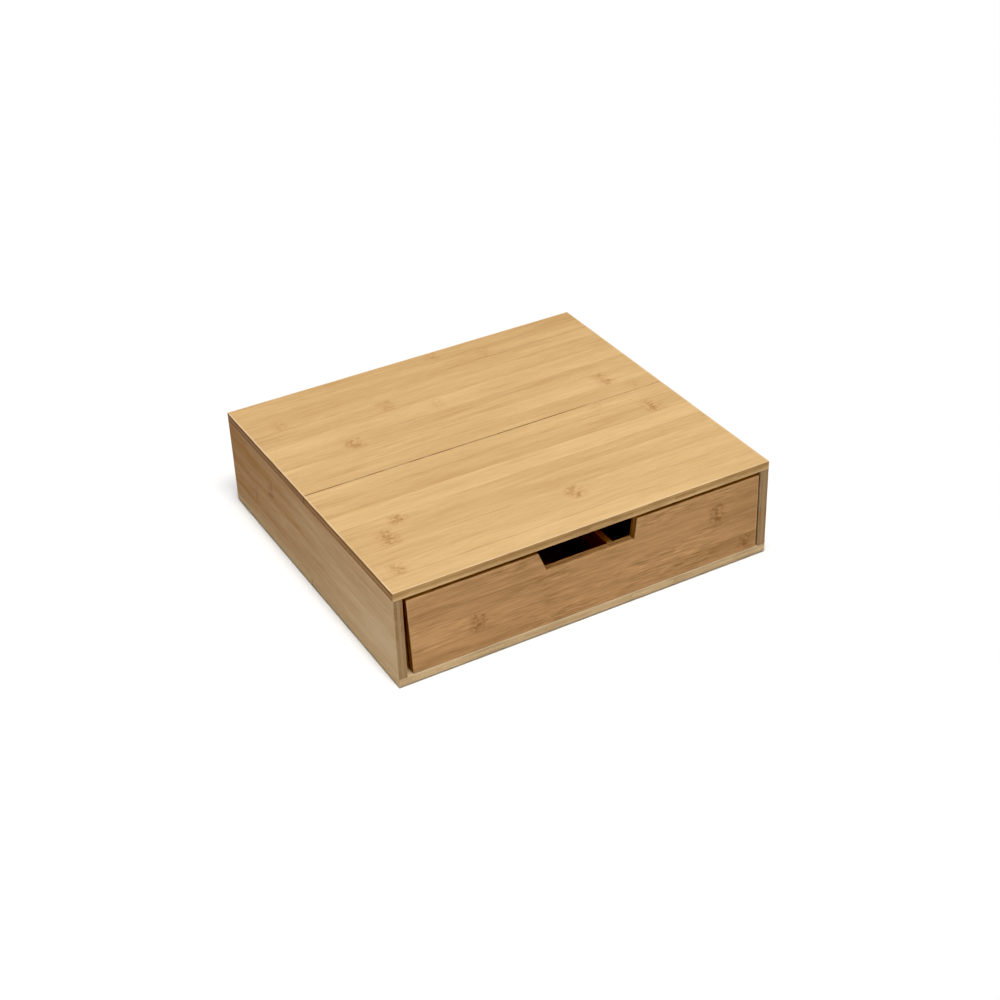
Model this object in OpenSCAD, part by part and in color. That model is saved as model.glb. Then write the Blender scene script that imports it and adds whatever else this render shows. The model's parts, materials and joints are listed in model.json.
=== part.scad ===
// Flat desk drawer: a closed bamboo case with one inset drawer that pulls out to the front.
// Millimetres. +X runs along the front, the drawer opens towards -Y, +Z is up.
// The origin is the middle of the base, on the surface that the pads stand on.

/* [Case] */
// Width of the case, left to right
case_w = 310; // [260:1:400]
// Depth of the case, front to back
case_d = 283; // [220:1:360]
// Height of the case without its pads
case_h = 79.5; // [72:0.5:110]
// Thickness of every full board but those of the bottom
board_t = 7; // [6.5:0.5:8]
// Thickness of the bottom boards
bottom_t = 6.5; // [6:0.5:8]

/* [Pads] */
// Diameter of the self-adhesive pads
pad_d = 12; // [8:1:20]
// Thickness of the pads
pad_t = 1; // [1:0.5:3]
// Distance from the case's outer faces to the middle of a pad
pad_inset = 20; // [14:1:40]

/* [Drawer front] */
// Slot above the drawer front, under the top
gap_top = 2.9; // [1:0.1:4]
// Gap under the drawer, all the way along it
gap_under = 0.3; // [0.3:0.1:1]
// Gap right of the drawer front
gap_right = 1.3; // [1:0.1:4]
// Gap left of the drawer front at its upper corner
gap_left_top = 2.8; // [1:0.1:4]
// Gap left of the drawer front at its lower corner, where its end is out of square
gap_left_bottom = 4.7; // [1:0.1:5]
// How far the drawer front sits behind the case's front edges
front_recess = 0.5; // [0:0.1:3]

/* [Finger notch] */
// Left end of the notch at the top edge, from the middle of the case
notch_left = -41.7; // [-60:0.1:-35]
// Right end of the notch at the top edge
notch_right = 39.8; // [35:0.1:60]
// Run of the sloping left end
notch_run_left = 6.7; // [1:0.1:12]
// Run of the sloping right end
notch_run_right = 2.3; // [1:0.1:12]
// Depth of the notch
notch_h = 17.1; // [10:0.1:24]

/* [Drawer box] */
// How much lower the drawer's sides and back are than its front
box_drop = 3.8; // [1:0.1:12]
// Gap between the drawer's right side and the case
box_gap_right = 2.5; // [1.7:0.1:5]
// Gap between the closed drawer and the back panel
box_gap_back = 0.5; // [0.3:0.1:3]
// Thickness of the drawer's bottom panel
floor_t = 3; // [2.5:0.5:4]
// Height of that panel above the lower edge of the drawer
floor_lift = 4; // [3:0.5:6]
// Thickness of the divider
divider_t = 5; // [3:0.5:8]
// Middle of the divider, from the middle of the case
divider_x = 21.5; // [-30:0.5:30]

/* [Joinery] */
// Diameter of the dowels
dowel_d = 4; // [3:0.5:5]
// Length of a dowel inside the board that it meets face on
dowel_in_face = 4; // [3:0.5:4.5]
// Length of a dowel inside the board that it meets edge on
dowel_in_edge = 13; // [8:1:18]
// Shank diameter of the case screws
screw_d = 2.5; // [2:0.1:3]
// Length of the case screws
screw_l = 18; // [14:1:24]

/* [Hidden] */

// Colours
top_colour = [0.85, 0.70, 0.49];
side_colour = [0.66, 0.53, 0.38];
front_colour = [0.72, 0.55, 0.37];
inner_colour = [0.78, 0.64, 0.45];
dowel_colour = [0.88, 0.78, 0.60];
steel_colour = [0.72, 0.72, 0.70];
pad_colour = [0.16, 0.16, 0.16];

// Planes of the case
x_right = case_w / 2;
x_left = -x_right;
y_back = case_d / 2;
y_front = -y_back;
z_base = pad_t;
z_floor = z_base + bottom_t;
z_top = z_base + case_h;
z_ceiling = z_top - board_t;
inner_right = x_right - board_t;
inner_left = -inner_right;
inner_back = y_back - board_t;

// Planes of the drawer
dz_low = z_floor + gap_under;
dz_front_top = z_ceiling - gap_top;
dz_box_top = dz_front_top - box_drop;
dz_notch = dz_front_top - notch_h;
dy_face = y_front + front_recess;
dy_front = dy_face + board_t;
dy_back = inner_back - box_gap_back;
dy_inner = dy_back - board_t;
dx_left = inner_left + gap_left_bottom;
dx_right = inner_right - box_gap_right;
dx_inner_left = dx_left + board_t;
dx_inner_right = dx_right - board_t;

// Grooves: the bottom panel sits in all four walls, the divider in the front and the back
groove_h = 3;
groove_play = 0.5;
slot_h = 2;
dz_panel = dz_low + floor_lift;
dz_inside = dz_panel + floor_t;

// Fixings: spare depth at each end of a dowel, its chamfer, and where the rows stand
dowel_play = 0.5;
dowel_chamfer = 0.6;
dowel_l = dowel_in_face + dowel_in_edge;
row_count = 4;
side_inset = 25;
back_inset = 50;
low_row_h = 8;
high_row_drop = 12;
side_pitch = (case_d - 2 * side_inset) / (row_count - 1);
back_pitch = (case_w - 2 * back_inset) / (row_count - 1);
case_rows = [for (i = [0:row_count - 1]) y_front + side_inset + i * side_pitch];
back_rows = [for (i = [0:row_count - 1]) x_left + back_inset + i * back_pitch];
drawer_rows = [dz_inside + low_row_h, dz_box_top - high_row_drop];
screw_head_d = 2 * screw_d;
screw_head_h = screw_d / 2;
screw_tip_h = 2 * screw_d;
drive_w = 0.6;
drive_l = 2.6;
drive_deep = 0.9;

// A board between two opposite corners
module board(low, high) {
    translate(low)
        cube(high - low);
}

// A dowel on the origin: the joint plane is z = 0, and +Z goes into the board it meets face on
module dowel() {
    r = dowel_d / 2;
    c = dowel_chamfer;
    rotate_extrude($fn = 32)
        polygon([[0, -dowel_in_edge], [r - c, -dowel_in_edge], [r, c - dowel_in_edge],
            [r, dowel_in_face - c], [r - c, dowel_in_face], [0, dowel_in_face]]);
}

// The hole for a dowel, in both boards at once
module dowel_hole() {
    translate([0, 0, -dowel_in_edge - dowel_play])
        cylinder(d = dowel_d, h = dowel_l + 2 * dowel_play, $fn = 32);
}

// A countersunk screw on the origin, head down, without its drive
module screw_body() {
    r = screw_d / 2;
    rotate_extrude($fn = 32)
        polygon([[0, 0], [screw_head_d / 2, 0], [r, screw_head_h],
            [r, screw_l - screw_tip_h], [0, screw_l]]);
}

// The whole screw, with its cross recess
module screw() {
    difference() {
        screw_body();
        for (turn = [0, 90])
            rotate(turn)
                translate([-drive_l / 2, -drive_w / 2, -1])
                    cube([drive_l, drive_w, 1 + drive_deep]);
    }
}

// Places for the fixings. Those of the case run along Z, the drawer's along Y in front and X behind
module along_side(x, z) {
    for (y = case_rows)
        translate([x, y, z])
            children();
}

module along_back(z) {
    for (x = back_rows)
        translate([x, y_back - board_t / 2, z])
            children();
}

module at_front_corner(x) {
    for (z = drawer_rows)
        translate([x, dy_front, z])
            rotate([90, 0, 0])
                children();
}

module at_back_corner(x, outwards) {
    for (z = drawer_rows)
        translate([x, dy_back - board_t / 2, z])
            rotate([0, 90 * outwards, 0])
                children();
}

// All the dowel holes and screw holes of the case
module case_holes() {
    for (x = [x_left + board_t / 2, x_right - board_t / 2]) {
        along_side(x, z_ceiling)
            dowel_hole();
        along_side(x, z_base)
            screw_body();
    }
    along_back(z_ceiling)
        dowel_hole();
    along_back(z_base)
        screw_body();
}

// All the dowel holes of the drawer
module drawer_holes() {
    at_front_corner(dx_left + board_t / 2)
        dowel_hole();
    at_front_corner(dx_right - board_t / 2)
        dowel_hole();
    at_back_corner(dx_inner_left, -1)
        dowel_hole();
    at_back_corner(dx_inner_right, 1)
        dowel_hole();
}

// The groove for the drawer's bottom panel, as the block that the panel and its play fill
module floor_groove() {
    board([dx_inner_left - groove_h, dy_front - groove_h, dz_panel],
        [dx_inner_right + groove_h, dy_inner + groove_h, dz_inside]);
}

// The slots for the divider's two ends, as one block from front to back
module divider_block(reach) {
    board([divider_x - divider_t / 2, dy_front - reach, dz_inside],
        [divider_x + divider_t / 2, dy_inner + reach, dz_notch]);
}

// One half of the top or the bottom: the two halves meet on the case's middle line
module half_board(low, high, front) {
    difference() {
        board([x_left, front ? y_front : 0, low], [x_right, front ? 0 : y_back, high]);
        case_holes();
    }
}

module side_board(x) {
    difference() {
        board([x, y_front, z_floor], [x + board_t, y_back, z_ceiling]);
        case_holes();
    }
}

module pad(side, end) {
    color(pad_colour)
        translate([side * (x_right - pad_inset), end * (y_back - pad_inset), 0])
            cylinder(d = pad_d, h = pad_t, $fn = 48);
}

module top_front_board() {
    color(top_colour)
        half_board(z_ceiling, z_top, true);
}

module top_rear_board() {
    color(top_colour)
        half_board(z_ceiling, z_top, false);
}

module bottom_front_board() {
    color(side_colour)
        half_board(z_base, z_floor, true);
}

module bottom_rear_board() {
    color(side_colour)
        half_board(z_base, z_floor, false);
}

module left_side() {
    color(side_colour)
        side_board(x_left);
}

module right_side() {
    color(side_colour)
        side_board(inner_right);
}

// The back stands between the sides, flush with their rear edges
module back_panel() {
    color(side_colour)
        difference() {
            board([inner_left, inner_back, z_floor], [inner_right, y_back, z_ceiling]);
            case_holes();
        }
}

module left_side_dowels() {
    color(dowel_colour)
        along_side(x_left + board_t / 2, z_ceiling)
            dowel();
}

module right_side_dowels() {
    color(dowel_colour)
        along_side(x_right - board_t / 2, z_ceiling)
            dowel();
}

module back_panel_dowels() {
    color(dowel_colour)
        along_back(z_ceiling)
            dowel();
}

module left_side_screws() {
    color(steel_colour)
        along_side(x_left + board_t / 2, z_base)
            screw();
}

module right_side_screws() {
    color(steel_colour)
        along_side(x_right - board_t / 2, z_base)
            screw();
}

module back_panel_screws() {
    color(steel_colour)
        along_back(z_base)
            screw();
}

module front_left_pad() {
    pad(-1, -1);
}

module front_right_pad() {
    pad(1, -1);
}

module rear_left_pad() {
    pad(-1, 1);
}

module rear_right_pad() {
    pad(1, 1);
}

// The inset front: its left end is out of square, and the finger notch opens its top edge
module drawer_front() {
    outline = [[dx_left, dz_low], [inner_right - gap_right, dz_low],
        [inner_right - gap_right, dz_front_top], [notch_right, dz_front_top],
        [notch_right - notch_run_right, dz_notch], [notch_left + notch_run_left, dz_notch],
        [notch_left, dz_front_top], [inner_left + gap_left_top, dz_front_top]];
    color(front_colour)
        difference() {
            translate([0, dy_front, 0])
                rotate([90, 0, 0])
                    linear_extrude(board_t)
                        polygon(outline);
            drawer_holes();
            floor_groove();
            divider_block(slot_h);
        }
}

module drawer_side(x) {
    difference() {
        board([x, dy_front, dz_low], [x + board_t, dy_back, dz_box_top]);
        drawer_holes();
        floor_groove();
    }
}

module drawer_left_side() {
    color(inner_colour)
        drawer_side(dx_left);
}

module drawer_right_side() {
    color(inner_colour)
        drawer_side(dx_inner_right);
}

module drawer_back() {
    color(inner_colour)
        difference() {
            board([dx_inner_left, dy_inner, dz_low], [dx_inner_right, dy_back, dz_box_top]);
            drawer_holes();
            floor_groove();
            divider_block(slot_h);
        }
}

module drawer_bottom() {
    reach = groove_h - groove_play;
    color(inner_colour)
        board([dx_inner_left - reach, dy_front - reach, dz_panel],
            [dx_inner_right + reach, dy_inner + reach, dz_inside]);
}

module drawer_divider() {
    color(inner_colour)
        divider_block(slot_h);
}

module drawer_front_left_dowels() {
    color(dowel_colour)
        at_front_corner(dx_left + board_t / 2)
            dowel();
}

module drawer_front_right_dowels() {
    color(dowel_colour)
        at_front_corner(dx_right - board_t / 2)
            dowel();
}

module drawer_back_left_dowels() {
    color(dowel_colour)
        at_back_corner(dx_inner_left, -1)
            dowel();
}

module drawer_back_right_dowels() {
    color(dowel_colour)
        at_back_corner(dx_inner_right, 1)
            dowel();
}

top_front_board();
top_rear_board();
bottom_front_board();
bottom_rear_board();
left_side();
right_side();
back_panel();
left_side_dowels();
right_side_dowels();
back_panel_dowels();
left_side_screws();
right_side_screws();
back_panel_screws();
front_left_pad();
front_right_pad();
rear_left_pad();
rear_right_pad();
drawer_front();
drawer_left_side();
drawer_right_side();
drawer_back();
drawer_bottom();
drawer_divider();
drawer_front_left_dowels();
drawer_front_right_dowels();
drawer_back_left_dowels();
drawer_back_right_dowels();
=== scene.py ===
"""The looks of a flat bamboo desk drawer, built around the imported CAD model.

Every board keeps the CAD's shape and place. It is copied, its triangles are merged and its arrises
are eased, and it gets a solid bamboo texture that runs right through it: three crossed plies, strips
side by side in each ply, fibres along the cane, and the marks of its knots. The small parts, dowels,
screws and pads, are built anew in their CAD places.

Names that end in _MM or _mm are in millimetres, as are all lengths inside a material. Every other
length is in metres, as Blender has it.
"""

import json
import math

import bmesh
import bpy
from mathutils import Matrix, Vector

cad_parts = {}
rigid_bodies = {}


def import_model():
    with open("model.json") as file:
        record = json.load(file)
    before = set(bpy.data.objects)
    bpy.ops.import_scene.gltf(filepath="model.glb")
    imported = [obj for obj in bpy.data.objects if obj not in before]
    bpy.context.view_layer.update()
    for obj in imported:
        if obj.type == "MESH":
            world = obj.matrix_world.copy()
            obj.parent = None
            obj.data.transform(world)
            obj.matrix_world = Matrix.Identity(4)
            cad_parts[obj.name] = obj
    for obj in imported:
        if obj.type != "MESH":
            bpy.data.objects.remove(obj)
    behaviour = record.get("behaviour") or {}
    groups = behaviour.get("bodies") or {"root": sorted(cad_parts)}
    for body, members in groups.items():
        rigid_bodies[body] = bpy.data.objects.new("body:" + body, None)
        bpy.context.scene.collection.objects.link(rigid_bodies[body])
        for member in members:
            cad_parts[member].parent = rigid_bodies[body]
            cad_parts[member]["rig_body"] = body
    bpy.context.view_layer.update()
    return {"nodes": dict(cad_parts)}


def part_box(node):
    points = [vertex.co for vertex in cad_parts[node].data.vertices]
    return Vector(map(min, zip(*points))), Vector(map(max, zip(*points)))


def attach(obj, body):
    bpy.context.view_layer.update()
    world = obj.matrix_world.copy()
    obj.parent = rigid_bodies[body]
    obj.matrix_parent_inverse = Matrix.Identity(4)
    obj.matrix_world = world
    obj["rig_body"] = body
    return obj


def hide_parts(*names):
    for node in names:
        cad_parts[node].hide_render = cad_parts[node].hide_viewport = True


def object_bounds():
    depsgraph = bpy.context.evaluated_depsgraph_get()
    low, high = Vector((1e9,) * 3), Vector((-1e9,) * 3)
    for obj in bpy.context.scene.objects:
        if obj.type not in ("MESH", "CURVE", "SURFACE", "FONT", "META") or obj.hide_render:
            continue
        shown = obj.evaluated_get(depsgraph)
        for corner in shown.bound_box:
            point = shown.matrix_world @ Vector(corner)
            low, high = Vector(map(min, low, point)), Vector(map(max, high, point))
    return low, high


MM = 0.001
AXES = "XYZ"

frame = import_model()


# ---------------------------------------------------------------- colours


def srgb(red, green, blue):
    """A screen colour, each part 0 to 255, as the linear colour that a shader takes."""

    def linear(part):
        part /= 255
        return part / 12.92 if part <= 0.04045 else ((part + 0.055) / 1.055) ** 2.4

    return linear(red), linear(green), linear(blue), 1.0


def times(colour, red, green=None, blue=None):
    """A colour with its parts scaled, all alike if only one factor is given."""
    green = red if green is None else green
    blue = red if blue is None else blue
    return colour[0] * red, colour[1] * green, colour[2] * blue, 1.0


# ---------------------------------------------------------------- camera

AZIMUTH = -28.64  # degrees round from the front, towards the object's left
ELEVATION = 33.13
ROLL = -2.12
DISTANCE = 1.4115
AIM_RIGHT = 0.0062
AIM_UP = -0.0150
LENS_MM = 66.28
SENSOR_MM = 36


def direction(azimuth, elevation):
    """The unit vector towards a place seen from the object, with azimuth 0 at its front."""
    turn, lift = math.radians(azimuth), math.radians(elevation)
    return Vector(
        (math.sin(turn) * math.cos(lift), -math.cos(turn) * math.cos(lift), math.sin(lift))
    )


def make_camera():
    """The camera looks at the middle of the case, without its pads."""
    low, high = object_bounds()
    low.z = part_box("bottom_front_board")[0].z
    middle = (low + high) / 2
    back = direction(AZIMUTH, ELEVATION)
    level = (-back).cross(Vector((0, 0, 1))).normalized()
    rise = level.cross(-back)
    roll = math.radians(ROLL)
    right = level * math.cos(roll) + rise * math.sin(roll)
    up = rise * math.cos(roll) - level * math.sin(roll)
    data = bpy.data.cameras.new("camera")
    data.lens = LENS_MM
    data.sensor_width = SENSOR_MM
    camera = bpy.data.objects.new("camera", data)
    camera.matrix_world = Matrix((right, up, back)).transposed().to_4x4()
    camera.location = middle + right * AIM_RIGHT + up * AIM_UP + back * DISTANCE
    bpy.context.scene.collection.objects.link(camera)
    bpy.context.scene.camera = camera


# ---------------------------------------------------------------- shader nodes


class Net:
    """A node tree built by short calls. An argument is a socket or a plain value."""

    def __init__(self, tree):
        self.tree = tree
        self.tree.nodes.clear()

    def add(self, kind, *values, **settings):
        """A new node of that kind, with these settings and with its first inputs filled in."""
        node = self.tree.nodes.new(kind)
        for key, value in settings.items():
            setattr(node, key, value)
        for socket, value in zip(node.inputs, values):
            self.put(socket, value)
        return node

    def put(self, socket, value):
        """Fills an input, by a link or with a constant."""
        if isinstance(value, bpy.types.NodeSocket):
            self.tree.links.new(value, socket)
        else:
            socket.default_value = value

    def math(self, operation, *values, clamp=False):
        """The result of one Math node."""
        return self.add("ShaderNodeMath", *values, operation=operation, use_clamp=clamp).outputs[0]

    def product(self, *values):
        """All the values multiplied."""
        total = values[0]
        for value in values[1:]:
            total = self.math("MULTIPLY", total, value)
        return total

    def gap(self, value, other):
        """How far apart two values are."""
        return self.math("ABSOLUTE", self.math("SUBTRACT", value, other))

    def swing(self, noise, size, value=0.0):
        """value, moved up or down by a noise of 0 to 1 that is then size wide."""
        return self.math("MULTIPLY_ADD", self.math("SUBTRACT", noise, 0.5), size, value)

    def pick(self, choice, if_zero, if_one):
        """One value where choice is 0 and the other where it is 1."""
        return self.math("MULTIPLY_ADD", choice, self.math("SUBTRACT", if_one, if_zero), if_zero)

    def vector(self, x, y, z):
        """A vector made of its three parts."""
        return self.add("ShaderNodeCombineXYZ", x, y, z).outputs[0]

    def split(self, vector):
        """The three parts of a vector."""
        return self.add("ShaderNodeSeparateXYZ", vector).outputs

    def fade(self, value, start, end, full=1.0, none=0.0):
        """full at start and none at end, smoothly."""
        node = self.add(
            "ShaderNodeMapRange", value, start, end, full, none, interpolation_type="SMOOTHSTEP"
        )
        return node.outputs[0]

    def rescale(self, value, low, high, to_low, to_high):
        """to_low at low and to_high at high, evenly between them and level beyond them."""
        return self.add("ShaderNodeMapRange", value, low, high, to_low, to_high).outputs[0]

    def noise(self, vector, detail=2.0, roughness=0.5):
        """Noise of 0 to 1, mostly near 0.5, with about one spot for each unit of the vector."""
        node = self.add("ShaderNodeTexNoise", noise_dimensions="3D", normalize=True)
        self.put(node.inputs["Vector"], vector)
        self.put(node.inputs["Scale"], 1.0)
        self.put(node.inputs["Detail"], detail)
        self.put(node.inputs["Roughness"], roughness)
        return node.outputs["Fac"]

    def blend(self, amount, below, above, kind="MIX"):
        """below where amount is 0, and above laid over it in full where amount is 1."""
        node = self.add("ShaderNodeMix", data_type="RGBA", blend_type=kind, clamp_factor=True)
        self.put(node.inputs["Factor"], amount)
        first, second = (socket for socket in node.inputs if socket.type == "RGBA")
        self.put(first, below)
        self.put(second, above)
        return next(socket for socket in node.outputs if socket.type == "RGBA")

    def over(self, colour, layer, *amounts):
        """Lays one colour over another, as thick as the product of the amounts."""
        return self.blend(self.product(*amounts), colour, layer)

    def lookup(self, where, starts, rows):
        """The three numbers of the row that where is in. Row i begins at starts[i], 0 to 1."""
        node = self.add("ShaderNodeValToRGB", where)
        ramp = node.color_ramp
        ramp.interpolation = "CONSTANT"
        ramp.elements.remove(ramp.elements[1])
        for i, (start, row) in enumerate(zip(starts, rows)):
            stop = ramp.elements.new(start) if i else ramp.elements[0]
            stop.position = start
            stop.color = (*row, 1.0)
        return self.add("ShaderNodeSeparateColor", node.outputs[0]).outputs

    def finish(self, colour, roughness, height=None, **constants):
        """The shader and the output. height is in millimetres."""
        shader = self.add("ShaderNodeBsdfPrincipled")
        self.put(shader.inputs["Base Color"], colour)
        self.put(shader.inputs["Roughness"], roughness)
        for name, value in constants.items():
            shader.inputs[name.replace("_", " ")].default_value = value
        if height is not None:
            relief = self.add("ShaderNodeBump")
            self.put(relief.inputs["Strength"], 1.0)
            self.put(relief.inputs["Distance"], MM)
            self.put(relief.inputs["Height"], height)
            self.put(shader.inputs["Normal"], relief.outputs[0])
        output = self.add("ShaderNodeOutputMaterial")
        self.put(output.inputs["Surface"], shader.outputs[0])


def new_material(name):
    """A material and the net of its nodes."""
    material = bpy.data.materials.new(name)
    material.use_nodes = True
    return material, Net(material.node_tree)


# ---------------------------------------------------------------- bamboo

CORE_SHARE = 1 / 3  # of a board's thickness
CORE_STRIP_MM = 18.0
CORE_TONES = (0.25, 0.75)  # the darkest and the lightest core strip
CORE_END = 0.78  # how much of the end tint the core takes at the board's ends
CORE_EDGE = 0.3  # and how much on its long edges, where the core's own cut ends show
GOLDEN = 0.381966  # its multiples, less their whole part, never come close to each other
SHIFT_ALONG_MM = 900.0  # how far a strip's texture can be shifted along the cane
SHIFT_THROUGH_MM = 77.0  # and through the board

# Times the colour of dark cane
DEEP = (0.42, 0.38, 0.34)  # vessels, specks and joints
ROSY = (0.98, 0.84, 0.74)  # the wood round a knot
# Times the colour of light cane
PALE = (1.04, 1.15, 1.48)  # rubbed wood, and painted highlight along the arrises and rims

# Knots
KNOT_BOW_MM = 7.0
KNOT_WAVER_MM = 7.0
KNOT_MOTTLE_MM = 9.0
KNOT_CLEAR_MM = 4.0  # a knot is as strong as it gets this far from the strip's joints
KNOT_AT_JOINT = 0.25  # and this much of that at the joints
WAVER_SPOTS = 0.3  # to the millimetre
WAVER_SHIFT = 50.0
MOTTLE_ALONG = 0.30  # spots to the millimetre
MOTTLE_OVER = 0.43
MOTTLE_DETAIL = (3.0, 0.55)
BEND_MM = 5.0  # how far the fibres swing at a knot

# Layers of the figure: spots to the millimetre along and over the cane, detail and roughness
BROAD = (0.008, 0.07, 2.0, 0.5)
PATCHES = (0.012, 0.05, 1.0, 0.5)
STREAK = (0.022, 0.45, 3.0, 0.62)
RIPPLE = (0.07, 0.75, 3.0, 0.62)
FIBRE = (0.05, 2.2, 3.0, 0.65)
VESSELS = (0.08, 1.7, 2.0, 0.5)

# How much a layer moves the tone
BROAD_SWING = 0.9
STREAK_SWING = 0.7
FIBRE_SWING = 0.55

# Fades: how far off, in millimetres, a mark is in full, and how far off it is gone
GLUE_LINE_MM = (0.05, 0.17)
STRIP_JOINT_MM = (0.1, 0.35)
BOARD_JOINT_MM = (0.3, 0.8)
KNOT_BAND_MM = (1.0, 10.0)
KNOT_RING_MM = (0.2, 1.4)
RIM_MM = (0.3, 1.7)

# Fades: the value of a noise, or of a part of the normal, where a mark is in full and where it is
# gone
IN_RING = (0.58, 0.44)
IN_SPECK = (0.40, 0.47)
IN_GLINT = (0.60, 0.54)
IN_VESSEL = (0.30, 0.38)
IN_WEAR_AND_HIGHLIGHT = (0.66, 0.42)
ON_ARRIS = (0.78, 0.97)
ON_BROAD_FACE = (0.75, 0.35)
ON_EDGE = (0.3, 0.75)

# Two values of a noise, and the two values that these are turned into
PATCHY = (0.38, 0.62, 0.25, 1.3)  # how much streaks and vessels show
LIVELY = (0.36, 0.64, 1.6, 0.2)  # how much the ripple shows
JOINT_SHOWS = (0.42, 0.62, 0.04, 0.42)
RIM_SHOWS = (0.36, 0.62, 0.4, 0.75)
SHEEN = (0.2, 0.8, 0.62, 0.50)  # the shader's roughness

# The joint between two boards is dark up to one place along the grain, in millimetres, and faint
# from another: both places, and how thick it lies there. The dark is a glue line and painted shade
# of the groove between the boards.
SEAM_CLOSES = (60.0, 100.0, 0.9, 0.35)

JOINT_SPOTS = 0.02  # to the millimetre, of the noise in which the joints come and go
JOINT_SHIFT = 9.0
WEAR_AND_HIGHLIGHT_SPOTS = 0.06

# How thick each mark lies on the wood, 0 to 1
VESSEL_AMOUNT = 0.16
BAND_AMOUNT = 0.5
GLINT_AMOUNT = 0.5
SPECK_AMOUNT = 0.45
RING_AMOUNT = 0.38
GLUE_AMOUNT = 0.25
ARRIS_AMOUNT = 0.8

# Relief
FIBRE_HEIGHT_MM = 0.02
JOINT_HEIGHT_MM = -0.03
VESSEL_HEIGHT_MM = -0.02
RING_HEIGHT_MM = -0.04

SPECULAR = 0.08


class Look:
    """What sets the bamboo of one group of boards apart from that of others.

    light and dark are the colours of the lightest and the darkest cane, end_tint is what a cut end is
    multiplied by, figure is how lively the ripple is, and the last is how pale the arrises and rims
    are painted, as rubbing and as painted highlight.
    """

    def __init__(self, light, dark, end_tint, figure, wear_and_highlight):
        self.light = light
        self.dark = dark
        self.deep = times(dark, *DEEP)
        self.rosy = times(dark, *ROSY)
        self.pale = times(light, *PALE)
        self.end_tint = end_tint
        self.figure = figure
        self.wear_and_highlight = wear_and_highlight


class Spot:
    """Where a spot is in a board, in millimetres, and how the surface faces there.

    u runs along the grain, v across it and w through the board. core is 1 in the middle ply, and glue
    is 1 on the two lines beside it.
    """

    def __init__(self, net, node, grain, across):
        low, high = (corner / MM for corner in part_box(node))
        thin = next(axis for axis in AXES if axis not in (grain, across))
        order = [AXES.index(axis) for axis in (grain, across, thin)]
        self.u_ends, self.v_ends, self.w_ends = ((low[axis], high[axis]) for axis in order)
        coords = net.add("ShaderNodeTexCoord")
        scaled = net.add("ShaderNodeVectorMath", coords.outputs["Object"], operation="SCALE")
        scaled.inputs["Scale"].default_value = 1 / MM
        place, facing = net.split(scaled.outputs[0]), net.split(coords.outputs["Normal"])
        self.u, self.v, self.w = (place[axis] for axis in order)
        self.facing_grain, self.facing_across, self.flat = (
            net.math("ABSOLUTE", facing[axis]) for axis in order
        )
        bottom, top = self.w_ends
        core_half = (top - bottom) * CORE_SHARE / 2
        depth = net.gap(self.w, (bottom + top) / 2)
        self.core = net.math("LESS_THAN", depth, core_half)
        self.glue = net.fade(net.gap(depth, core_half), *GLUE_LINE_MM)


class Cane:
    """The strip of cane that a spot is in, its knot, and where the spot is in its texture."""

    def __init__(self, net, at, strips, seed):
        # The strip of the face plies
        low, high = at.u_ends
        first = at.v_ends[0]
        reach = high - low
        span = sum(strip[0] for strip in strips)
        edges = [sum(strip[0] for strip in strips[:i]) for i in range(len(strips))]
        starts = [edge / span for edge in edges]
        numbers = [(GOLDEN * (i + 1) + seed) % 1.0 for i in range(len(strips))]
        knots = [min(max((strip[2] - low) / reach, 0.0), 1.0) for strip in strips]
        where = net.rescale(at.v, first, first + span, 0.0, 1.0)
        tone, number, knot = net.lookup(
            where, starts, [(s[1], n, k) for s, n, k in zip(strips, numbers, knots)]
        )
        start, width, strength = net.lookup(
            where, starts, [(edge, s[0] / span, s[3]) for edge, s in zip(starts, strips)]
        )
        self.into = net.math("MULTIPLY", net.math("SUBTRACT", where, start), span)
        self.width = net.math("MULTIPLY", width, span)
        far_side = net.math("SUBTRACT", self.width, self.into)
        self.to_joint = net.math("MINIMUM", self.into, far_side)
        on_faces = net.pick(at.core, 1.0, 0.0)
        self.joint = net.math("MULTIPLY", net.fade(self.to_joint, *STRIP_JOINT_MM), on_faces)
        self.knot = net.math("MULTIPLY_ADD", knot, reach, low)
        self.strength = net.pick(at.core, strength, 0.0)

        # The strip of the core, which runs the other way, and then the one of the two that is here
        core_hash = net.add("ShaderNodeTexWhiteNoise", noise_dimensions="1D")
        core_strip = net.math("FLOOR", net.math("DIVIDE", at.u, CORE_STRIP_MM))
        net.put(core_hash.inputs["W"], core_strip)
        core_number = core_hash.outputs["Value"]
        core_tone = net.rescale(core_number, 0.0, 1.0, *CORE_TONES)
        self.number = net.pick(at.core, number, core_number)
        self.tone = net.pick(at.core, tone, core_tone)

        # Each strip is its own piece of cane, so its texture starts somewhere else
        along = net.pick(at.core, at.u, at.v)
        self.u_own = net.math("MULTIPLY_ADD", self.number, SHIFT_ALONG_MM, along)
        self.v_own = net.pick(at.core, at.v, at.u)
        self.w_own = net.math("MULTIPLY_ADD", self.number, SHIFT_THROUGH_MM, at.w)


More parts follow.
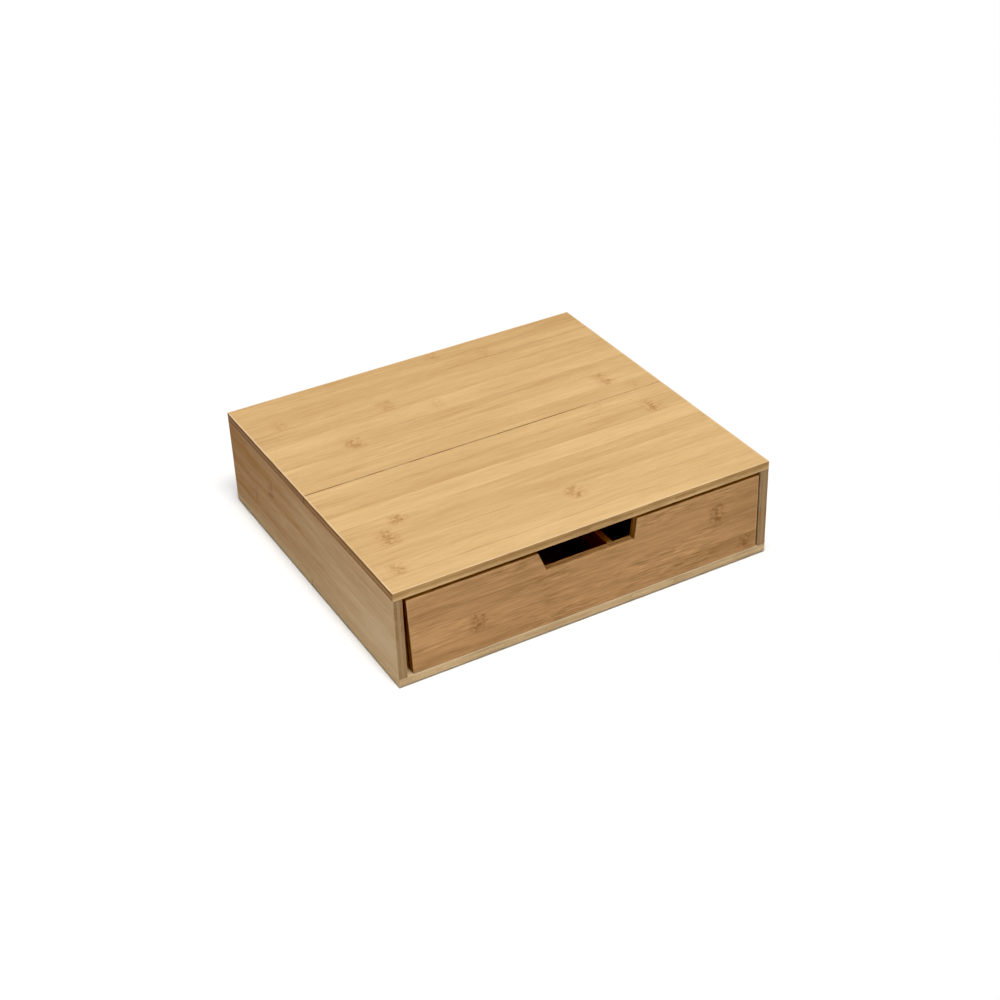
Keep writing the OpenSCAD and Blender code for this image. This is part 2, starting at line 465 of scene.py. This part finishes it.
class Knot:
    """A line that bows and wavers across the strip, in a mottled band that bends the fibres."""

    def __init__(self, net, at, cane):
        half_width = net.math("MULTIPLY", cane.width, 0.5)
        off_middle = net.math("SUBTRACT", net.math("DIVIDE", cane.into, half_width), 1.0)
        bow = net.product(net.swing(cane.number, KNOT_BOW_MM), off_middle, off_middle)
        waver_along = net.math("MULTIPLY", cane.number, WAVER_SHIFT)
        waver_over = net.math("MULTIPLY", at.v, WAVER_SPOTS)
        waver = net.noise(net.vector(waver_along, waver_over, 0.0))
        mottle_along = net.math("MULTIPLY", cane.u_own, MOTTLE_ALONG)
        mottle_over = net.math("MULTIPLY", at.v, MOTTLE_OVER)
        mottle = net.noise(net.vector(mottle_along, mottle_over, cane.w_own), *MOTTLE_DETAIL)
        from_knot = net.math("ADD", net.math("SUBTRACT", at.u, cane.knot), bow)
        from_knot = net.swing(waver, KNOT_WAVER_MM, from_knot)
        from_line = net.math("ABSOLUTE", net.swing(mottle, KNOT_MOTTLE_MM, from_knot))
        off_joint = net.fade(cane.to_joint, KNOT_CLEAR_MM, 0.0, 1.0, KNOT_AT_JOINT)
        strength = net.math("MULTIPLY", cane.strength, off_joint)
        line = net.fade(from_line, *KNOT_RING_MM)
        self.band = net.math("MULTIPLY", net.fade(from_line, *KNOT_BAND_MM), strength)
        self.ring = net.product(line, strength, net.fade(mottle, *IN_RING))
        self.specks = net.math("MULTIPLY", self.band, net.fade(mottle, *IN_SPECK))
        self.glints = net.math("MULTIPLY", self.band, net.fade(mottle, *IN_GLINT))
        self.bend = net.math("MULTIPLY", self.band, net.swing(mottle, BEND_MM))


class Figure:
    """The layers of noise along the cane, whose fibres bend round the knot."""

    def __init__(self, net, cane, knot):
        bent = net.math("ADD", cane.v_own, knot.bend)

        def layer(along, over, detail, rough):
            """Noise with that many spots to the millimetre along the cane and over it."""
            spots = net.vector(
                net.math("MULTIPLY", cane.u_own, along),
                net.math("MULTIPLY", bent, over),
                net.math("MULTIPLY", cane.w_own, over),
            )
            return net.noise(spots, detail, rough)

        patches = layer(*PATCHES)
        self.patchy = net.rescale(patches, *PATCHY)
        self.lively = net.rescale(patches, *LIVELY)
        self.broad = layer(*BROAD)
        self.streak = layer(*STREAK)
        self.ripple = layer(*RIPPLE)
        self.fibre = layer(*FIBRE)
        self.vessels = net.fade(layer(*VESSELS), *IN_VESSEL)


def bare_cane(net, look, at, cane, knot, figure, drift):
    """The colour of the wood: its tone, its figure, the vessels and the knots. The drift along the
    cane is painted light on the case's sides.
    """
    # The drift: on the case's sides, painted light, lighter towards the front
    tone = net.math("ADD", cane.tone, net.rescale(at.u, *at.u_ends, -drift / 2, drift / 2))
    tone = net.swing(figure.broad, BROAD_SWING, tone)
    tone = net.math("MULTIPLY_ADD", net.swing(figure.streak, STREAK_SWING), figure.patchy, tone)
    tone = net.math("MULTIPLY_ADD", net.swing(figure.ripple, look.figure), figure.lively, tone)
    tone = net.math("ADD", tone, net.swing(figure.fibre, FIBRE_SWING), clamp=True)
    colour = net.blend(tone, look.dark, look.light)
    colour = net.over(colour, look.deep, figure.vessels, figure.patchy, VESSEL_AMOUNT)
    colour = net.over(colour, look.rosy, knot.band, BAND_AMOUNT)
    colour = net.over(colour, look.light, knot.glints, GLINT_AMOUNT)
    colour = net.over(colour, look.deep, knot.specks, SPECK_AMOUNT)
    return net.over(colour, look.deep, knot.ring, RING_AMOUNT)


def draw_joints(net, colour, look, at, cane, seam):
    """The joints between strips, which come and go, between plies and between boards."""
    fading_along = net.math("MULTIPLY", at.u, JOINT_SPOTS)
    fading_over = net.math("MULTIPLY", cane.number, JOINT_SHIFT)
    fading = net.noise(net.vector(fading_along, 0.0, fading_over))
    colour = net.over(colour, look.deep, cane.joint, net.rescale(fading, *JOINT_SHOWS))
    colour = net.over(colour, look.deep, at.glue, GLUE_AMOUNT)
    if seam:
        low, high = at.v_ends
        # A dark glue line along the joint with another board, deepened as painted shade of the groove
        # there
        glue_line_and_shade = net.fade(net.gap(at.v, low if seam == "low" else high), *BOARD_JOINT_MM)
        colour = net.over(colour, look.deep, glue_line_and_shade, net.fade(at.u, *SEAM_CLOSES))
    return colour


def tint_ends_and_shade_edges(net, colour, look, at, edge_shade):
    """Cut ends are darker, and the core's own ends, on the long edges, a little.
    The higher part of the edges can also get painted shade.
    """
    end = net.math("MULTIPLY", at.facing_grain, net.pick(at.core, 1.0, CORE_END))
    core_end = net.product(at.facing_across, at.core, CORE_EDGE)
    colour = net.blend(net.math("ADD", end, core_end), colour, look.end_tint, "MULTIPLY")
    if edge_shade:
        shade_colour, full, start = edge_shade
        # Painted shade: the higher part of the edges is darkened
        rise = net.rescale(at.w, *at.w_ends, 0.0, 1.0)
        upper = net.product(net.fade(rise, full, start), net.fade(at.flat, *ON_EDGE))
        colour = net.blend(upper, colour, shade_colour, "MULTIPLY")
    return colour


def paint_wear_and_highlight(net, colour, look, at, seam):
    """Paints the arrises and the rims of the broad faces pale, more in some places than in others,
    as rubbing and as painted highlight.

    An arris is where the board is rounded, so that no part of the normal is near 1.
    """
    wear_and_highlight_noise = net.noise(net.vector(*(net.product(part, WEAR_AND_HIGHLIGHT_SPOTS) for part in (at.u, at.v, at.w))))
    largest = net.math("MAXIMUM", net.math("MAXIMUM", at.facing_grain, at.facing_across), at.flat)
    arris = net.fade(largest, *ON_ARRIS)
    # Painted highlight, with rubbing: the rounded arrises are laid over with the pale colour
    colour = net.over(colour, look.pale, arris, net.fade(wear_and_highlight_noise, *IN_WEAR_AND_HIGHLIGHT), ARRIS_AMOUNT * look.wear_and_highlight)
    from_rim = net.math("MINIMUM", *(net.gap(at.u, plane) for plane in at.u_ends))
    for side, plane in zip(("low", "high"), at.v_ends):
        if side != seam:
            from_rim = net.math("MINIMUM", from_rim, net.gap(at.v, plane))
    # Painted highlight, with rubbing: a pale rim along the edges of the broad faces
    rim = net.product(net.fade(from_rim, *RIM_MM), net.fade(at.flat, *ON_BROAD_FACE))
    return net.over(colour, look.pale, rim, net.rescale(wear_and_highlight_noise, *RIM_SHOWS), look.wear_and_highlight)


def bamboo(node, grain, across, strips, look, seam=None, seed=0.0, drift=0.0, edge_shade=None):
    """The solid bamboo of one board, whose cane runs along grain and is laid in strips along across.

    strips lists (width, tone, knot, strength): its width in millimetres, its tone from 0, dark, to
    1, light, and where along the grain it has a knot, and how strong. seam is "low" or "high" where
    another board is glued to that side. seed sets the board's texture apart from that of others.
    drift is how much lighter the far end of the cane is; on the case's sides that is painted light.
    The last argument is painted shade: what the higher part of the board's edges is multiplied by,
    and the heights, 0 to 1, where that is in full and where it starts.
    """
    material, net = new_material(node + "_bamboo")
    at = Spot(net, node, grain, across)
    cane = Cane(net, at, strips, seed)
    knot = Knot(net, at, cane)
    figure = Figure(net, cane, knot)
    colour = bare_cane(net, look, at, cane, knot, figure, drift)
    colour = draw_joints(net, colour, look, at, cane, seam)
    colour = tint_ends_and_shade_edges(net, colour, look, at, edge_shade)
    colour = paint_wear_and_highlight(net, colour, look, at, seam)
    height = net.math("MULTIPLY", cane.joint, JOINT_HEIGHT_MM)
    height = net.math("MULTIPLY_ADD", figure.fibre, FIBRE_HEIGHT_MM, height)
    height = net.math("MULTIPLY_ADD", figure.vessels, VESSEL_HEIGHT_MM, height)
    height = net.math("MULTIPLY_ADD", knot.ring, RING_HEIGHT_MM, height)
    net.finish(colour, net.rescale(figure.streak, *SHEEN), height, Specular_IOR_Level=SPECULAR)
    return material


MOTTLED_DETAIL = (3.0, 0.6)
MOTTLED_DARK = 0.75  # times the colour


def mottled(name, colour, roughness, size_mm, relief_mm, **constants):
    """A simple finish with a fine mottle of spots of that size."""
    material, net = new_material(name)
    place = net.add("ShaderNodeTexCoord").outputs["Object"]
    scaled = net.add("ShaderNodeVectorMath", place, operation="SCALE")
    scaled.inputs["Scale"].default_value = 1 / (MM * size_mm)
    spots = net.noise(scaled.outputs[0], *MOTTLED_DETAIL)
    colour = net.blend(spots, times(colour, MOTTLED_DARK), colour)
    net.finish(colour, roughness, net.math("MULTIPLY", spots, relief_mm), **constants)
    return material


# ---------------------------------------------------------------- pieces

SAME = 0.001 * MM  # corners this close are merged
FINE = 0.0005 * MM  # as are those of a round piece built here that are this close
NEAR = 0.01 * MM  # a corner this close to a plane lies in it
LEVEL_DEGREES = 1  # faces that differ by less are made one
ARRIS_DEGREES = 30  # an edge sharper than this is an arris
ARRIS_SEGMENTS = 3
BOARD_SMOOTH_DEGREES = 35
TURNED_SMOOTH_DEGREES = 40
CASE_LEVEL = ([(0, "low")], [(0, "high")], [(1, "high")])  # the left side, the right side, the back


def add_piece(name, mesh, node, material):
    """An object for this mesh, which moves with the CAD node's body and stands for the node."""
    piece = bpy.data.objects.new(name, mesh)
    bpy.context.scene.collection.objects.link(piece)
    mesh.materials.append(material)
    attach(piece, frame["nodes"][node]["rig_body"])
    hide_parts(node)
    return piece


def smooth(mesh, degrees):
    """Smooth shading, but for the edges sharper than that."""
    for polygon in mesh.polygons:
        polygon.use_smooth = True
    mesh.set_sharp_from_angle(angle=math.radians(degrees))


def merged_copy(node):
    """A copy of the CAD node's mesh to work on, with its triangles joined at their corners."""
    work = bmesh.new()
    work.from_mesh(frame["nodes"][node].data)
    bmesh.ops.remove_doubles(work, verts=work.verts, dist=SAME)
    return work


def is_outer(face, low, high, thin):
    """True for a face in a side of the board's box, or one that runs through its whole thickness."""
    for axis in range(3):
        for plane in (low[axis], high[axis]):
            if all(abs(vert.co[axis] - plane) < NEAR for vert in face.verts):
                return True
    depths = [vert.co[thin] for vert in face.verts]
    return min(depths) - low[thin] < NEAR and high[thin] - max(depths) < NEAR


def meets_level(edge):
    """True where two boards of the case meet level on its sides or back, sanded flat together."""
    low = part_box("bottom_front_board")[0]
    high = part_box("top_rear_board")[1]
    found = [
        (axis, side)
        for axis in range(3)
        for side, corner in (("low", low), ("high", high))
        if all(abs(vert.co[axis] - corner[axis]) < NEAR for vert in edge.verts)
    ]
    return found in CASE_LEVEL


def add_board(node, radius_mm, material):
    """A board with its outer arrises rounded. Its holes and grooves stay as the CAD has them."""
    low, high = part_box(node)
    size = high - low
    thin = min(range(3), key=lambda axis: size[axis])
    work = merged_copy(node)
    bmesh.ops.dissolve_limit(
        work, angle_limit=math.radians(LEVEL_DEGREES), verts=work.verts, edges=work.edges
    )
    outer = {face for face in work.faces if is_outer(face, low, high, thin)}
    arrises = [
        edge
        for edge in work.edges
        if len(edge.link_faces) == 2
        and edge.calc_face_angle(0) > math.radians(ARRIS_DEGREES)
        and all(face in outer for face in edge.link_faces)
        and not meets_level(edge)
    ]
    bmesh.ops.bevel(
        work,
        geom=arrises,
        offset=radius_mm * MM,
        segments=ARRIS_SEGMENTS,
        profile=0.5,
        affect="EDGES",
        clamp_overlap=False,
    )
    mesh = bpy.data.meshes.new(node + "_board")
    work.to_mesh(mesh)
    work.free()
    smooth(mesh, BOARD_SMOOTH_DEGREES)
    piece = add_piece(node + "_board", mesh, node, material)
    weighted = piece.modifiers.new("weighted_normals", "WEIGHTED_NORMAL")
    weighted.keep_sharp = True


# ---------------------------------------------------------------- round pieces

SEGMENTS = 48  # round each ring


def islands(node):
    """The box of each separate solid of a CAD node, as its lowest and highest corner."""
    work = merged_copy(node)
    work.verts.index_update()
    seen = set()
    boxes = []
    for first in work.verts:
        if first.index in seen:
            continue
        seen.add(first.index)
        found = [first]
        for vert in found:
            for edge in vert.link_edges:
                other = edge.other_vert(vert)
                if other.index not in seen:
                    seen.add(other.index)
                    found.append(other)
        low, high = (
            Vector([extreme(vert.co[axis] for vert in found) for axis in range(3)])
            for extreme in (min, max)
        )
        boxes.append((low, high))
    work.free()
    return boxes


def pad_rings(height, radius):
    """A pad with its lower edge rounded over, as heights and the radius at each."""
    edge = 0.7 * MM
    steps = 6
    for step in range(steps + 1):
        turn = math.pi / 2 * step / steps
        yield edge * (1 - math.cos(turn)), radius - edge * (1 - math.sin(turn))
    yield height, radius


def dowel_rings(height, radius):
    """A dowel with chamfered ends and straight flutes, which let the glue out."""
    chamfer = 0.6 * MM
    flutes = 12
    depth = 0.16 * MM

    def fluted(angle):
        """The radius at this angle."""
        return radius - depth * max(0.0, math.cos(flutes * angle))

    yield 0.0, radius - chamfer
    yield chamfer, fluted
    yield height - chamfer, fluted
    yield height, radius - chamfer


def screw_rings(height, head_radius):
    """A countersunk wood screw, head down, with a cross recess, a plain neck and a thread."""
    radius = head_radius / 2
    core = 0.68 * radius
    neck = 4.2 * MM
    tip = 4.0 * radius
    point = 0.02 * MM
    pitch = 1.4 * MM
    ridge_half = 0.28  # of the pitch
    rings_per_turn = 10
    lead = 0.3 * MM  # from the neck to the thread
    rim = 0.1 * MM
    recess_depth = 1.3 * MM
    recess_taper = 0.45
    slot, arm = 0.42 * MM, 1.5 * MM

    def recess(scale):
        """The cross at this scale, as a function that gives its radius at an angle."""

        def outline(angle):
            off_arm = abs(math.remainder(angle, math.pi / 2))
            return scale * min(arm, slot / max(math.sin(off_arm), slot / arm))

        return outline

    def threaded(along):
        """The thread at this height, as a function that gives its radius at an angle."""
        envelope = radius * min(1.0, (height - along) / tip)

        def outline(angle):
            turn = (along / pitch - angle / math.tau) % 1.0
            ridge = max(0.0, 1.0 - abs(turn - 0.5) / ridge_half)
            return envelope * (core + (radius - core) * ridge) / radius

        return outline

    yield recess_depth, recess(recess_taper)
    yield 0.0, recess(1.0)
    yield 0.0, head_radius - rim
    yield rim, head_radius
    yield head_radius - radius, radius
    yield neck - lead, radius
    steps = int((height - neck) / pitch * rings_per_turn)
    for step in range(steps):
        along = neck + (height - neck) * step / steps
        yield along, threaded(along)
    yield height, point


def add_turned(node, rings, along, material):
    """Round solids, one for each of the CAD node's, as rings stacked from the low end of an axis."""
    verts, faces = [], []
    axis = AXES.index(along)
    one, two = (axis + 1) % 3, (axis + 2) % 3
    for low, high in islands(node):
        middle = (low + high) / 2
        stack = list(rings(high[axis] - low[axis], (high[one] - low[one]) / 2))
        start = len(verts)
        for height, outline in [(stack[0][0], 0.0), *stack, (stack[-1][0], 0.0)]:
            for segment in range(SEGMENTS):
                angle = math.tau * segment / SEGMENTS
                reach = outline(angle) if callable(outline) else outline
                point = middle.copy()
                point[axis] = low[axis] + height
                point[one] += reach * math.cos(angle)
                point[two] += reach * math.sin(angle)
                verts.append(point)
        for ring in range(len(stack) + 1):
            for segment in range(SEGMENTS):
                here = start + ring * SEGMENTS + segment
                beside = start + ring * SEGMENTS + (segment + 1) % SEGMENTS
                faces.append((here, beside, beside + SEGMENTS, here + SEGMENTS))
    mesh = bpy.data.meshes.new(node + "_turned")
    mesh.from_pydata(verts, [], faces)
    work = bmesh.new()
    work.from_mesh(mesh)
    bmesh.ops.remove_doubles(work, verts=work.verts, dist=FINE)
    bmesh.ops.dissolve_degenerate(work, edges=work.edges, dist=FINE)
    work.to_mesh(mesh)
    work.free()
    smooth(mesh, TURNED_SMOOTH_DEGREES)
    add_piece(node + "_turned", mesh, node, material)


# ---------------------------------------------------------------- stage

FLOOR_COLOUR = srgb(238, 238, 238)
FLOOR_ROUGHNESS = 0.9
WHITE = (1, 1, 1, 1)
# The sine of the elevation up to which the sky is bright, that from which it is dim, and both lights
HORIZON = (0.03, 0.10, 1.0, 0.12)
BLACK_LEVEL = (0.008, 0.011, 0.012)  # light this weak, in red, green and blue, comes out black


def make_stage():
    """A plain pale floor, a hair under the pads."""
    half = 4.0
    clear = 0.02 * MM
    mesh = bpy.data.meshes.new("floor")
    corners = [(-half, -half, 0), (half, -half, 0), (half, half, 0), (-half, half, 0)]
    mesh.from_pydata(corners, [], [(0, 1, 2, 3)])
    floor = bpy.data.objects.new("floor", mesh)
    bpy.context.scene.collection.objects.link(floor)
    floor.location.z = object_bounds()[0].z - clear
    material, net = new_material("floor")
    net.finish(FLOOR_COLOUR, FLOOR_ROUGHNESS)
    mesh.materials.append(material)


def make_sky():
    """Soft light from all round, bright at the horizon, and the picture's own black level."""
    world = bpy.data.worlds.new("sky")
    world.use_nodes = True
    net = Net(world.node_tree)
    height = net.split(net.add("ShaderNodeTexCoord").outputs["Generated"])[2]
    background = net.add("ShaderNodeBackground", WHITE, net.fade(height, *HORIZON))
    output = net.add("ShaderNodeOutputWorld")
    net.put(output.inputs["Surface"], background.outputs[0])
    bpy.context.scene.world = world
    view = bpy.context.scene.view_settings
    view.view_transform = "Standard"
    view.use_curve_mapping = True
    view.curve_mapping.black_level = BLACK_LEVEL
    view.curve_mapping.update()


def make_distant(name, azimuth, elevation, strength, spread):
    """A wide lamp so far away that it lights the floor evenly."""
    data = bpy.data.lights.new(name, "SUN")
    data.energy = strength
    data.angle = math.radians(spread)
    lamp = bpy.data.objects.new(name, data)
    lamp.rotation_euler = direction(azimuth, elevation).to_track_quat("Z", "Y").to_euler()
    bpy.context.scene.collection.objects.link(lamp)


def make_panel(name, place, target, size, watts):
    """A square soft lamp that looks at a place on the object."""
    data = bpy.data.lights.new(name, "AREA")
    data.energy = watts
    data.size = size
    lamp = bpy.data.objects.new(name, data)
    lamp.location = place
    lamp.rotation_euler = (Vector(place) - Vector(target)).to_track_quat("Z", "Y").to_euler()
    lamp.visible_camera = False
    bpy.context.scene.collection.objects.link(lamp)


# ---------------------------------------------------------------- build

NO_KNOT = 0.0

# Each strip's width in millimetres, its tone, its knot's place in millimetres and its strength
TOP_REAR_STRIPS = [
    (16.0, 0.50, 135, 0.3), (21.5, 0.54, 118, 0.8), (16.5, 0.42, -93, 0.9), (20.5, 0.54, -12, 0.3),
    (17.5, 0.44, -46, 0.6), (17.5, 0.46, -130, 0.4), (17.5, 0.38, 60, 0.3), (14.5, 0.34, 20, 0.5),
]
TOP_FRONT_STRIPS = [
    (16.6, 0.66, 0, NO_KNOT), (15.7, 0.52, -138, 0.8), (18.0, 0.54, 12, 0.9), (21.5, 0.50, -128, 1.0),
    (13.6, 0.48, -111, 1.0), (18.8, 0.68, 0, NO_KNOT), (19.7, 0.46, 128, 1.0), (17.6, 0.50, 90, 0.2),
]
FRONT_STRIPS = [
    (15.0, 0.38, 136, 0.9), (17.7, 0.58, -91, 1.0), (19.5, 0.50, 109, 0.9), (10.6, 0.55, 0, NO_KNOT),
]
# The tones fall from the bottom strip to the top one: partly the cane's own tones, partly painted
# light, lighter low down on the left side where the floor's light falls
SIDE_STRIPS = [
    (12.0, 0.62, 0, NO_KNOT), (20.4, 0.58, 98, 0.5), (18.3, 0.46, 65, 0.9), (15.3, 0.42, 0, NO_KNOT),
]

TOP_LOOK = Look(
    light=srgb(221, 186, 134),
    dark=srgb(184, 145, 96),
    end_tint=srgb(166, 142, 108),
    figure=0.5,
    wear_and_highlight=1.0,
)
FRONT_LOOK = Look(
    light=srgb(210, 164, 113),
    dark=srgb(149, 110, 70),
    end_tint=srgb(178, 170, 160),
    figure=1.5,
    wear_and_highlight=0.6,
)
INNER_LOOK = Look(
    light=FRONT_LOOK.light,
    dark=FRONT_LOOK.dark,
    end_tint=FRONT_LOOK.end_tint,
    figure=0.7,
    wear_and_highlight=0.5,
)
# The sides' light and dark cane are partly the wood's own colours and partly painted reflection: with
# their drift they grow lighter, greyer and bluer towards the front
SIDE_LOOK = Look(
    light=srgb(187, 160, 122),
    dark=srgb(152, 104, 45),
    end_tint=srgb(214, 205, 196),
    figure=0.5,
    wear_and_highlight=0.3,
)
BASE_LOOK = Look(
    light=srgb(223, 197, 155),
    dark=srgb(190, 160, 120),
    end_tint=srgb(216, 210, 197),
    figure=0.5,
    wear_and_highlight=0.15,
)

# Painted shade on the top boards' edges: what their higher part is multiplied by, where that is in
# full and where it starts
TOP_EDGE_SHADE = (srgb(225, 215, 197), 0.78, 0.30)

BOARD_ARRIS_MM = 0.5
FRONT_ARRIS_MM = 0.45
PANEL_ARRIS_MM = 0.3
# Painted light: the case's sides grow lighter towards the front, standing in for the white floor's
# reflection in them
SIDE_PAINTED_LIGHT_DRIFT = -0.8
FRONT_DRIFT = -0.08


def build_case():
    """The top, the bottom, the two sides and the back."""
    for node, strips, seam, look, seed, shade_colour in (
        ("top_front_board", TOP_FRONT_STRIPS, "high", TOP_LOOK, 0.0, TOP_EDGE_SHADE),
        ("top_rear_board", TOP_REAR_STRIPS, "low", TOP_LOOK, 0.0, TOP_EDGE_SHADE),
        ("bottom_front_board", TOP_REAR_STRIPS, "high", BASE_LOOK, 0.3, None),
        ("bottom_rear_board", TOP_FRONT_STRIPS, "low", BASE_LOOK, 0.3, None),
    ):
        wood = bamboo(node, "X", "Y", strips, look, seam, seed, edge_shade=shade_colour)
        add_board(node, BOARD_ARRIS_MM, wood)
    for node, strips, seed in (
        ("left_side", SIDE_STRIPS, 0.0),
        ("right_side", SIDE_STRIPS[::-1], 0.2),
    ):
        wood = bamboo(node, "Y", "Z", strips, SIDE_LOOK, seed=seed, drift=SIDE_PAINTED_LIGHT_DRIFT)
        add_board(node, BOARD_ARRIS_MM, wood)
    wood = bamboo("back_panel", "X", "Z", SIDE_STRIPS, SIDE_LOOK, seed=0.7)
    add_board("back_panel", BOARD_ARRIS_MM, wood)


def build_drawer():
    """The drawer's front, sides, divider, back and bottom panel."""
    wood = bamboo("drawer_front", "X", "Z", FRONT_STRIPS, FRONT_LOOK, drift=FRONT_DRIFT)
    add_board("drawer_front", FRONT_ARRIS_MM, wood)
    for number, node in enumerate(("drawer_left_side", "drawer_right_side", "drawer_divider")):
        wood = bamboo(node, "Y", "Z", SIDE_STRIPS, INNER_LOOK, seed=0.15 * number)
        add_board(node, BOARD_ARRIS_MM, wood)
    wood = bamboo("drawer_back", "X", "Z", SIDE_STRIPS, INNER_LOOK, seed=0.6)
    add_board("drawer_back", BOARD_ARRIS_MM, wood)
    strips = TOP_FRONT_STRIPS + TOP_REAR_STRIPS
    wood = bamboo("drawer_bottom", "X", "Y", strips, INNER_LOOK, seed=0.4)
    add_board("drawer_bottom", PANEL_ARRIS_MM, wood)


def build_fixings():
    """The pads, the screws and the dowels. Dowels lie along the longest side of their box."""
    wood = mottled("dowel_wood", srgb(220, 195, 150), roughness=0.6, size_mm=1.0, relief_mm=0.02)
    steel = mottled(
        "screw_steel", srgb(190, 190, 185), roughness=0.35, size_mm=0.5, relief_mm=0.005, Metallic=1.0
    )
    rubber = mottled("pad_rubber", srgb(60, 60, 60), roughness=0.8, size_mm=0.4, relief_mm=0.02)
    for node in sorted(frame["nodes"]):
        if node.endswith("pad"):
            add_turned(node, pad_rings, "Z", rubber)
        elif node.endswith("screws"):
            add_turned(node, screw_rings, "Z", steel)
        elif node.endswith("dowels"):
            low, high = islands(node)[0]
            size = high - low
            along = max(AXES, key=lambda axis: size[AXES.index(axis)])
            add_turned(node, dowel_rings, along, wood)


make_camera()
build_case()
build_drawer()
build_fixings()
make_stage()
make_sky()
make_distant("overhead", azimuth=-30, elevation=86, strength=2.23, spread=14)
make_distant("front", azimuth=4, elevation=68, strength=1.25, spread=16)
make_panel("fill", place=(-0.42, -0.20, 0.05), target=(-0.155, -0.12, 0.03), size=0.2, watts=0.2)
